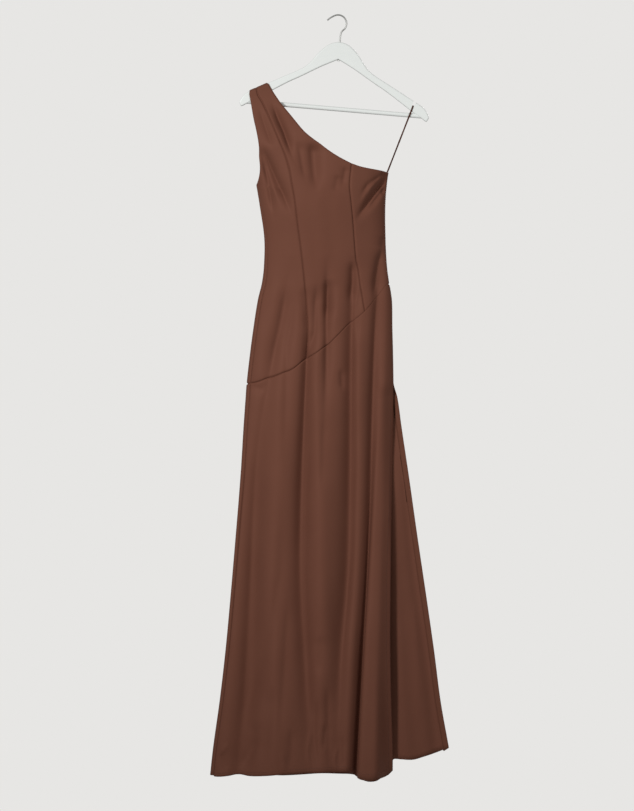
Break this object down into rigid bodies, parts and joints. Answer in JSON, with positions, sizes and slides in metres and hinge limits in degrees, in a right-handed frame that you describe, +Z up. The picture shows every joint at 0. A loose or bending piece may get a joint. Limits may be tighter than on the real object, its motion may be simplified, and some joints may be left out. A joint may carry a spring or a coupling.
{
  "type": "one-shoulder maxi dress on a clothes hanger",
  "caption": "Long satin dress with a single shoulder strap, panelled bodice, slanting hip seam and side slit, hung on a shaped wooden hanger with a wire hook.",
  "frame": {"origin": "underside of the crown of the hanger's hook, where a rail holds it", "axes": "+X to the right as seen from the front, +Y from the front to the back, +Z up"},
  "size_m": [0.5374, 0.1372, 1.7305],
  "materials": {
    "satin": "satin weave, soft sheen",
    "ribbon": "narrow satin ribbon",
    "painted_wood": "white satin paint",
    "wire": "polished plated wire"
  },
  "bodies": {
    "root": {"bodice_front_strap_side": "satin", "bodice_front_centre": "satin", "bodice_front_open_side": "satin", "bodice_back": "satin", "skirt_front": "satin", "skirt_back": "satin", "slit_hem_front": "satin", "slit_hem_back": "satin", "hanger_loop": "ribbon", "hanger_wood": "painted_wood", "hanger_bar": "painted_wood", "hanger_hook": "wire"}
  },
  "joints": []
}
